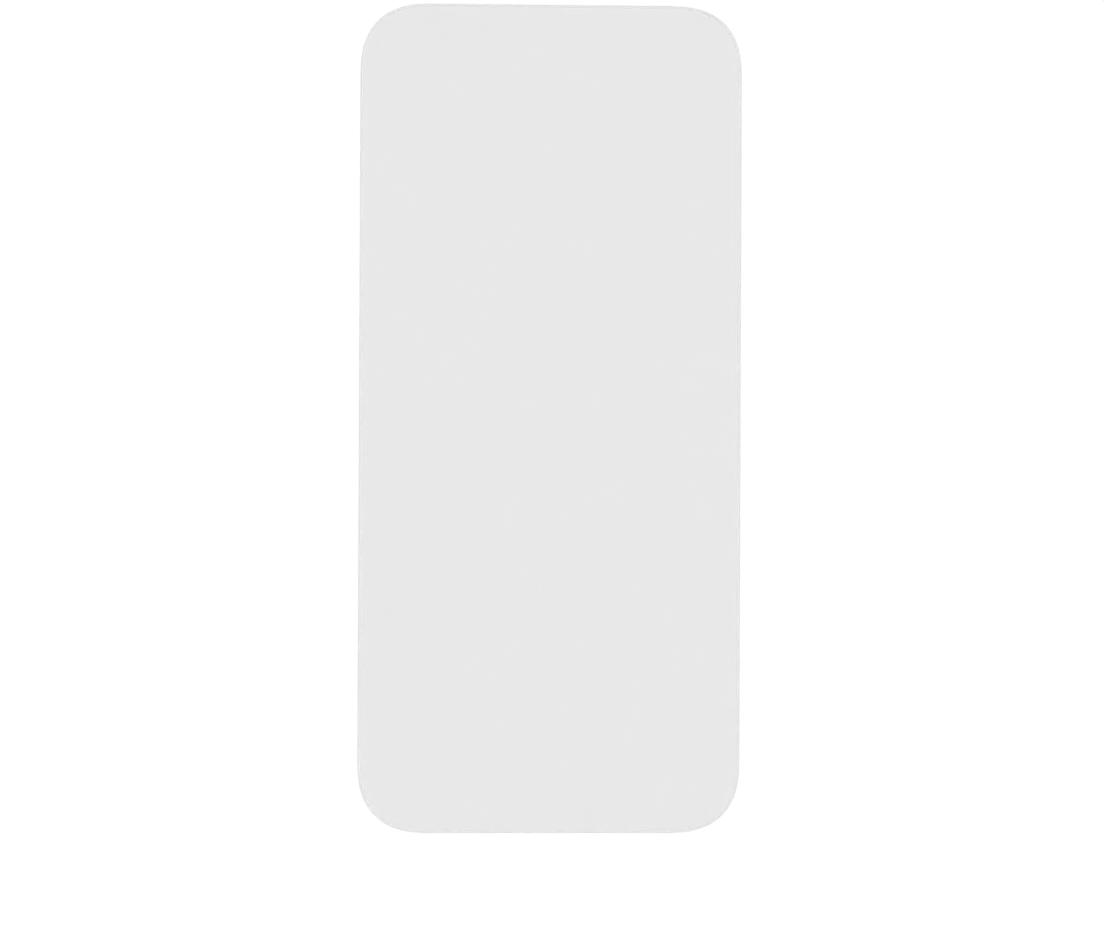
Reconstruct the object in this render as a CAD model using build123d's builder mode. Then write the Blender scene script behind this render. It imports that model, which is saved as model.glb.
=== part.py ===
"""Phone screen protector: one flat sheet of tempered glass, lying on its adhesive side.

The front face looks up along +Z and the long sides run along Y. The origin is the middle of the
adhesive face, which lies on the plane Z = 0.
"""

import os

from build123d import *

# Sheet, in millimetres
SHEET_WIDTH = 66.5
SHEET_LENGTH = 144.4
SHEET_THICKNESS = 0.33

# Corners: the length of side that each corner's curve takes up, and the curve's pull towards the
# sharp corner, which is the length of its end tangents over that reach
CORNER_REACH = 13.3
CORNER_PULL = 1.75

# Rim, from the adhesive face up: a small bevel, an upright wall, then the rounded front edge, which
# runs in from the rim and takes up the rest of the thickness
BACK_BEVEL = 0.05
RIM_WALL = 0.10
FRONT_EDGE_RUN = 0.60

# How far the section of ground-off glass stands clear of the blank
GRIND_CLEARANCE = 0.20

half_width = SHEET_WIDTH / 2
half_length = SHEET_LENGTH / 2
straight_half_width = half_width - CORNER_REACH
straight_half_length = half_length - CORNER_REACH
corner_tangents = (CORNER_REACH * CORNER_PULL, CORNER_REACH * CORNER_PULL)
front_edge_drop = SHEET_THICKNESS - BACK_BEVEL - RIM_WALL

with BuildPart() as protector_glass:
    # Blank: four straight sides joined by corners whose curvature starts and ends at zero
    with BuildSketch():
        with BuildLine():
            lower_side = Line((straight_half_width, -half_length), (-straight_half_width, -half_length))
            left_side = Line((-half_width, -straight_half_length), (-half_width, straight_half_length))
            upper_side = Line((-straight_half_width, half_length), (straight_half_width, half_length))
            right_side = Line((half_width, straight_half_length), (half_width, -straight_half_length))
            BlendCurve(lower_side, left_side, ContinuityLevel.C2, tangent_scalars=corner_tangents)
            BlendCurve(left_side, upper_side, ContinuityLevel.C2, tangent_scalars=corner_tangents)
            BlendCurve(upper_side, right_side, ContinuityLevel.C2, tangent_scalars=corner_tangents)
            BlendCurve(right_side, lower_side, ContinuityLevel.C2, tangent_scalars=corner_tangents)
        make_face()
    extrude(amount=SHEET_THICKNESS)

    # Bevel that takes the sharp edge off the adhesive side
    adhesive_face = protector_glass.faces().sort_by(Axis.Z)[0]
    chamfer(adhesive_face.edges(), length=BACK_BEVEL)

    # Rounded front edge: an arc that leaves the front face smoothly and is ground all round the rim
    front_rim = protector_glass.faces().sort_by(Axis.Z)[-1].outer_wire()
    rim_section = Plane(origin=(half_width, 0, SHEET_THICKNESS), x_dir=(1, 0, 0), z_dir=(0, -1, 0))
    with BuildSketch(rim_section):
        with BuildLine():
            rounding = TangentArc((-FRONT_EDGE_RUN, 0), (0, -front_edge_drop), tangent=(1, 0))
            Polyline(
                rounding @ 1,
                (GRIND_CLEARANCE, -front_edge_drop),
                (GRIND_CLEARANCE, GRIND_CLEARANCE),
                (-FRONT_EDGE_RUN, GRIND_CLEARANCE),
                rounding @ 0,
            )
        make_face()
    sweep(path=front_rim, mode=Mode.SUBTRACT)

protector_glass.part.label = "protector_glass"

os.makedirs("parts", exist_ok=True)
export_step(protector_glass.part, "parts/protector_glass.step")
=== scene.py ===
import math

import bmesh
import bpy
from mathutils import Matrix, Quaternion, Vector


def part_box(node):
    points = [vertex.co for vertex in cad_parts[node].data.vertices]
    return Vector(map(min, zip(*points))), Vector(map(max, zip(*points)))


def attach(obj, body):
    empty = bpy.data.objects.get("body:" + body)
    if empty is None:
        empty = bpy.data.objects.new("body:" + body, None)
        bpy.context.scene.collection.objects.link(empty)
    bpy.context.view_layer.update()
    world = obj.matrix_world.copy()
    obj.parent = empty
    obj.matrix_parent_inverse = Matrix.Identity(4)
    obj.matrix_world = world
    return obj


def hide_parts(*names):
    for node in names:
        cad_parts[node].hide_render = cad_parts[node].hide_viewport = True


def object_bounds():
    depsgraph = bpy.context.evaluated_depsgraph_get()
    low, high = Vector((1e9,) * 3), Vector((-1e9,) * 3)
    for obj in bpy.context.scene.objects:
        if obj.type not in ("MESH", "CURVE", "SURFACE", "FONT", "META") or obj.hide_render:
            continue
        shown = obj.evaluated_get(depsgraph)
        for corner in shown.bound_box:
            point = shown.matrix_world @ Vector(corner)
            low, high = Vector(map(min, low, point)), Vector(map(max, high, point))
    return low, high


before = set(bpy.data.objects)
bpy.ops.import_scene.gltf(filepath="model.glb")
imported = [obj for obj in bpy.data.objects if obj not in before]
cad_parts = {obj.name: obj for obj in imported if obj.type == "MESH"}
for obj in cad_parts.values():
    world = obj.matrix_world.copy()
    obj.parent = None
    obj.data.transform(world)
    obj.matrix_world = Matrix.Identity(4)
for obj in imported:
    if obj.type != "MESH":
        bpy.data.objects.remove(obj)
cad_low, cad_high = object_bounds()

# Lengths are in metres, apart from the camera's lens. Rim of the glass sheet, from the adhesive face
# up: a small bevel, an upright wall, then the rounded front edge, which runs in from the rim and takes
# up the rest of the thickness
BACK_BEVEL = 0.05e-3
RIM_WALL = 0.10e-3
FRONT_EDGE_RUN = 0.60e-3
FRONT_EDGE_STEPS = 12

# Corners: the length of side that each one takes up, and how full its curve is (0.5 is a plain arc)
CORNER_REACH = 12.82e-3
CORNER_FULLNESS = 0.5854
CORNER_STEPS = 32

# Squares along each straight side, and the plain strip of face between the rim and the squares
SHORT_SIDE_SQUARES = 14
LONG_SIDE_SQUARES = 42
FACE_MARGIN = 0.40e-3

# Edges that meet at more than this angle stay crisp
CRISP_ANGLE = math.radians(30)

# Lengths and heights closer than this count as the same
SAME = 1e-6

# Glass: how strongly it bends light, and how finely the patterns on it are broken up
GLASS_IOR = 1.52
PATTERN_DETAIL = 3.0

# Polished front: smears that change the roughness and the tone that the glass gives to light, and the
# slight waves that tempering leaves
SMEAR_WIDTH = 18e-3
SMEAR_LENGTH = 51e-3
FACE_TONES = (0.853, 0.860)
FACE_ROUGHNESS = (0.015, 0.045)
WAVE_WIDTH = 12e-3
WAVE_DEPTH = 3e-6

# Where the front starts to round, its tone has painted light added, which offsets the shade at the rim
# there, by as much as trials against the photograph's rim called for: what is added to the tone, and how
# far below the front face all of it is added
EDGE_PAINTED_LIGHT = 0.14
PAINTED_LIGHT_DEPTH = 0.008e-3

# Ground rim: the grain that the wheel leaves, the share of light that goes through instead of
# scattering, and how far below the front face the rounded edge is ground all over
GRAIN_WIDTH = 0.4e-3
GRAIN_DEPTH = 2e-6
RIM_TONES = (0.96, 1.0)
RIM_ROUGHNESS = (0.28, 0.38)
RIM_CLEARNESS = 0.38
FROST_DEPTH = 0.05e-3

# Adhesive back: the unevenness of its film
FILM_WIDTH = 1.5e-3
FILM_DEPTH = 2e-6
BACK_ROUGHNESS = (0.05, 0.10)

# Round studio floor, just below the sheet
FLOOR_RADIUS = 1.2
FLOOR_SIDES = 96
FLOOR_GAP = 2e-5
FLOOR_TONE = 0.95
FLOOR_ROUGHNESS = 0.7
FLOOR_SHINE = 0.2

# Brightness of the surroundings by their height, the sine of the angle above the horizon. The horizon
# and the floor's far edge are both white, so that one runs into the other.
SURROUNDINGS = ((0.0, 1.02), (0.06, 0.86), (0.25, 0.50), (0.5, 0.58), (1.0, 1.48))

# Tall narrow softboxes round the sheet, whose reflections cross it aslant, with bearings in degrees
STRIP_BEARINGS = range(38, 360, 45)
STRIP_ELEVATION = math.radians(30)
STRIP_DISTANCE = 1.55
STRIP_WIDTH = 0.35
STRIP_HEIGHT = 1.15
STRIP_LEAN = math.radians(25)
STRIP_BRIGHTNESS = 0.65

# Camera, straight above the sheet as the photograph is straight before it, with its lens in millimetres
CAMERA_LENS = 65.0
CAMERA_NEAREST = 0.01
CAMERA_PLACE = (-8.66e-3, -11.88e-3, 347.66e-3)
CAMERA_TURN_DEGREES = (0.297, -1.487, 0.240)


class Value:
    """What a node gives, for use in expressions."""

    def __init__(self, finish, socket):
        self.finish = finish
        self.socket = socket

    def maths(self, operation, first, second):
        return self.finish.node("ShaderNodeMath", {"operation": operation}, {0: first, 1: second})

    def __add__(self, other):
        return self.maths("ADD", self, other)

    def __radd__(self, other):
        return self.maths("ADD", other, self)

    def __sub__(self, other):
        return self.maths("SUBTRACT", self, other)

    def __rsub__(self, other):
        return self.maths("SUBTRACT", other, self)

    def __mul__(self, other):
        return self.maths("MULTIPLY", self, other)

    def __rmul__(self, other):
        return self.maths("MULTIPLY", other, self)


class Finish:
    """One material, or the world's light, and the nodes that make it."""

    def __init__(self, owner, output):
        owner.use_nodes = True
        self.owner = owner
        self.tree = owner.node_tree
        self.tree.nodes.clear()
        self.output = self.tree.nodes.new(output)

    def node(self, kind, settings=None, sockets=None, output=0):
        """Adds a node, sets it up, fills its sockets with values or links, and gives one output."""
        added = self.tree.nodes.new(kind)
        for name, setting in (settings or {}).items():
            if name == "stops":
                self.set_stops(added.color_ramp, setting)
            else:
                setattr(added, name, setting)
        for name, value in (sockets or {}).items():
            if isinstance(value, Value):
                self.tree.links.new(value.socket, added.inputs[name])
            else:
                added.inputs[name].default_value = value
        return Value(self, added.outputs[output])

    def set_stops(self, ramp, stops):
        """Gives a ramp grey stops, each a position and a tone."""
        ramp.interpolation = "EASE"
        while len(ramp.elements) < len(stops):
            ramp.elements.new(1.0)
        for element, (position, tone) in zip(ramp.elements, stops):
            element.position = position
            element.color = grey(tone)

    def place(self):
        """Each point's place on the piece, in metres."""
        return self.node("ShaderNodeTexCoord", output="Object")

    def height(self, place):
        return self.node("ShaderNodeSeparateXYZ", sockets={"Vector": place}, output="Z")

    def part_of(self, depth, full_depth):
        """How much of a full depth a depth makes up, from 0 to 1."""
        return self.node("ShaderNodeClamp", sockets={"Value": depth * (1 / full_depth)})

    def noise(self, width, length=None):
        """Smooth noise from 0 to 1, in patches of about a width and, along Y, a length in metres."""
        scale = (1 / width, 1 / (length or width), 1 / width)
        place = self.node("ShaderNodeMapping", sockets={"Vector": self.place(), "Scale": scale})
        sockets = {"Vector": place, "Scale": 1.0, "Detail": PATTERN_DETAIL}
        return self.node("ShaderNodeTexNoise", sockets=sockets)

    def bump(self, height, depth):
        """A surface normal pressed in and out by a height from 0 to 1 times a depth in metres."""
        return self.node("ShaderNodeBump", sockets={"Height": height, "Distance": depth})

    def mix(self, share, first, second):
        """A shader that goes from the first to the second as a share goes from 0 to 1."""
        return self.node("ShaderNodeMixShader", sockets={0: share, 1: first, 2: second})

    def done(self, shader):
        self.tree.links.new(shader.socket, self.output.inputs["Surface"])
        return self.owner


def grey(tone):
    return (tone, tone, tone, 1.0)


def between(share, low, high):
    """A number that goes from low to high as a share goes from 0 to 1."""
    return low + share * (high - low)


def new_finish(name):
    return Finish(bpy.data.materials.new(name), "ShaderNodeOutputMaterial")


def glass(finish, tone, roughness, normal, clearness=1.0):
    sockets = {
        "Base Color": tone,
        "Roughness": roughness,
        "IOR": GLASS_IOR,
        "Transmission Weight": clearness,
        "Normal": normal,
    }
    return finish.node("ShaderNodeBsdfPrincipled", sockets=sockets)


def polished_glass(finish, depth):
    """Clear glass with faint smears and slight waves, with painted light where it starts to round
    against the shade there.
    """
    smears = finish.noise(SMEAR_WIDTH, SMEAR_LENGTH)
    waves = finish.bump(finish.noise(WAVE_WIDTH), WAVE_DEPTH)
    # Painted light: the tone is raised where the front starts to round, offsetting the shade at the rim
    tone = between(smears, *FACE_TONES) + EDGE_PAINTED_LIGHT * finish.part_of(depth, PAINTED_LIGHT_DEPTH)
    return glass(finish, tone, between(smears, *FACE_ROUGHNESS), waves)


def ground_glass(finish):
    """Frosted glass with a fine grain."""
    grain = finish.noise(GRAIN_WIDTH)
    pits = finish.bump(grain, GRAIN_DEPTH)
    roughness = between(grain, *RIM_ROUGHNESS)
    return glass(finish, between(grain, *RIM_TONES), roughness, pits, RIM_CLEARNESS)


def front_and_rim(face_height):
    """Polished on the front face, and more and more frosted down the rounded edge."""
    finish = new_finish("front_and_rim")
    depth = face_height - finish.height(finish.place())
    frost = finish.part_of(depth, FROST_DEPTH)
    return finish.done(finish.mix(frost, polished_glass(finish, depth), ground_glass(finish)))


def adhesive_back():
    """Clear glass under a slightly uneven film of adhesive."""
    finish = new_finish("adhesive_back")
    film = finish.noise(FILM_WIDTH)
    ripples = finish.bump(film, FILM_DEPTH)
    roughness = between(film, *BACK_ROUGHNESS)
    return finish.done(glass(finish, between(film, *FACE_TONES), roughness, ripples))


def select(kind, sheet, wanted):
    """Selects only the wanted edges or faces of a sheet in edit mode."""
    bpy.ops.mesh.select_all(action="DESELECT")
    mesh = bmesh.from_edit_mesh(sheet.data)
    for part in filter(wanted, getattr(mesh, kind)):
        part.select_set(True)
    bmesh.update_edit_mesh(sheet.data)


def is_large(face):
    """Whether a face is the undivided front or back, with more sides than the squares round it."""
    return len(face.verts) > 4


def draw_outline(low, high):
    """Lays a flat face with rounded corners where the back bevel meets the wall of the rim."""
    bpy.ops.object.select_all(action="DESELECT")
    middle = (low + high) / 2
    bpy.ops.mesh.primitive_plane_add(size=1.0, location=(middle.x, middle.y, low.z + BACK_BEVEL))
    sheet = bpy.context.object
    sheet.name = "glass_sheet"
    sheet.scale = (high.x - low.x, high.y - low.y, 1.0)
    bpy.ops.object.transform_apply(location=True, rotation=True, scale=True)
    bpy.ops.object.mode_set(mode="EDIT")
    bpy.ops.mesh.select_all(action="SELECT")
    bpy.ops.mesh.bevel(
        offset=CORNER_REACH,
        segments=CORNER_STEPS,
        profile=CORNER_FULLNESS,
        affect="VERTICES",
    )
    return sheet


def divide_sides(sheet, width, length):
    """Divides the straight sides as bare edges, so that the face isn't cut, and puts the face back."""
    bpy.ops.mesh.select_all(action="SELECT")
    bpy.ops.mesh.delete(type="ONLY_FACE")
    for side, squares in ((width, SHORT_SIDE_SQUARES), (length, LONG_SIDE_SQUARES)):
        straight = side - 2 * CORNER_REACH
        select("edges", sheet, lambda edge: abs(edge.calc_length() - straight) < SAME)
        bpy.ops.mesh.subdivide(number_cuts=squares - 1)
    bpy.ops.mesh.select_all(action="SELECT")
    bpy.ops.mesh.edge_face_add()


def raise_rim_wall():
    bpy.ops.mesh.select_all(action="SELECT")
    bpy.ops.mesh.extrude_region_move(TRANSFORM_OT_translate={"value": (0.0, 0.0, RIM_WALL)})
    bpy.ops.mesh.select_all(action="SELECT")
    bpy.ops.mesh.normals_make_consistent(inside=False)


def round_front_edge(sheet, drop):
    """Steps the front face in and up along an arc that ends level, with the margin inside it."""
    radius = (FRONT_EDGE_RUN**2 + drop**2) / (2 * drop)
    angle = math.asin(FRONT_EDGE_RUN / radius)
    select("faces", sheet, lambda face: is_large(face) and face.normal.z > 0)
    for step in range(FRONT_EDGE_STEPS, 0, -1):
        outer = angle * step / FRONT_EDGE_STEPS
        inner = angle * (step - 1) / FRONT_EDGE_STEPS
        run = radius * (math.sin(outer) - math.sin(inner))
        rise = radius * (math.cos(inner) - math.cos(outer))
        bpy.ops.mesh.inset(thickness=run, depth=rise)
    bpy.ops.mesh.inset(thickness=FACE_MARGIN)


def bevel_back(sheet):
    select("faces", sheet, lambda face: is_large(face) and face.normal.z < 0)
    bpy.ops.mesh.inset(thickness=BACK_BEVEL, depth=BACK_BEVEL)
    bpy.ops.mesh.inset(thickness=FACE_MARGIN)


def fill_with_squares(sheet, height):
    """Turns the one large face at a height into a grid of squares, which starts at the active corner."""
    select("faces", sheet, lambda face: is_large(face) and abs(face.verts[0].co.z - height) < SAME)
    bpy.ops.mesh.delete(type="ONLY_FACE")
    select("edges", sheet, lambda edge: edge.is_boundary)
    mesh = bmesh.from_edit_mesh(sheet.data)
    corner = max((vert for vert in mesh.verts if vert.select), key=lambda vert: vert.co.x + vert.co.y)
    mesh.select_history.add(corner)
    bpy.ops.mesh.fill_grid(span=CORNER_STEPS + SHORT_SIDE_SQUARES)


def model_glass_sheet():
    low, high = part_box("protector_glass")
    width, length, thickness = high - low
    sheet = draw_outline(low, high)
    divide_sides(sheet, width, length)
    raise_rim_wall()
    round_front_edge(sheet, thickness - BACK_BEVEL - RIM_WALL)
    bevel_back(sheet)
    fill_with_squares(sheet, high.z)
    fill_with_squares(sheet, low.z)
    bpy.ops.object.mode_set(mode="OBJECT")
    bpy.ops.object.shade_smooth_by_angle(angle=CRISP_ANGLE)
    return sheet


def finish_glass_sheet(sheet):
    low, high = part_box("protector_glass")
    for material in (front_and_rim(high.z), adhesive_back()):
        sheet.data.materials.append(material)
    for face in sheet.data.polygons:
        on_back = abs(face.center.z - low.z) < SAME
        face.material_index = 1 if on_back else 0


def lay_floor():
    finish = new_finish("studio_floor")
    sockets = {
        "Base Color": grey(FLOOR_TONE),
        "Roughness": FLOOR_ROUGHNESS,
        "Specular IOR Level": FLOOR_SHINE,
    }
    shader = finish.node("ShaderNodeBsdfPrincipled", sockets=sockets)
    bpy.ops.object.select_all(action="DESELECT")
    bpy.ops.mesh.primitive_circle_add(
        vertices=FLOOR_SIDES,
        radius=FLOOR_RADIUS,
        fill_type="NGON",
        location=(0.0, 0.0, cad_low.z - FLOOR_GAP),
    )
    floor = bpy.context.object
    floor.name = "studio_floor"
    floor.data.materials.append(finish.done(shader))


def light_surroundings():
    world = bpy.data.worlds.new("studio_world")
    bpy.context.scene.world = world
    studio = Finish(world, "ShaderNodeOutputWorld")
    height = studio.height(studio.node("ShaderNodeTexCoord", output="Generated"))
    brightness = studio.node("ShaderNodeValToRGB", {"stops": SURROUNDINGS}, {"Fac": height})
    studio.done(studio.node("ShaderNodeBackground", sockets={"Color": brightness}))


def hang_strip_softbox(bearing):
    """Hangs a light at a bearing from +Y that faces the sheet, leans and is hidden from the camera."""
    level = STRIP_DISTANCE * math.cos(STRIP_ELEVATION)
    across = level * math.sin(math.radians(bearing))
    along = level * math.cos(math.radians(bearing))
    place = Vector((across, along, STRIP_DISTANCE * math.sin(STRIP_ELEVATION)))
    facing = place.to_track_quat("Z", "Y") @ Quaternion((0.0, 0.0, 1.0), STRIP_LEAN)
    bpy.ops.object.light_add(type="AREA", location=place, rotation=facing.to_euler())
    softbox = bpy.context.object
    softbox.name = f"strip_softbox_{bearing}"
    softbox.visible_camera = False
    softbox.data.shape = "RECTANGLE"
    softbox.data.size = STRIP_WIDTH
    softbox.data.size_y = STRIP_HEIGHT
    softbox.data.energy = STRIP_BRIGHTNESS * math.pi * STRIP_WIDTH * STRIP_HEIGHT


def place_camera():
    turn = [math.radians(degrees) for degrees in CAMERA_TURN_DEGREES]
    bpy.ops.object.camera_add(location=CAMERA_PLACE, rotation=turn)
    camera = bpy.context.object
    camera.name = "camera"
    camera.data.lens = CAMERA_LENS
    camera.data.clip_start = CAMERA_NEAREST
    bpy.context.scene.camera = camera


glass_sheet = model_glass_sheet()
finish_glass_sheet(glass_sheet)
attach(glass_sheet, "root")
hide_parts("protector_glass")

lay_floor()
light_surroundings()
for bearing in STRIP_BEARINGS:
    hang_strip_softbox(bearing)
place_camera()

# Plain colours, and no blurring of glossy light, which would lose the light that reaches the floor
# through the glass
bpy.context.scene.view_settings.view_transform = "Standard"
bpy.context.scene.cycles.blur_glossy = 0.0
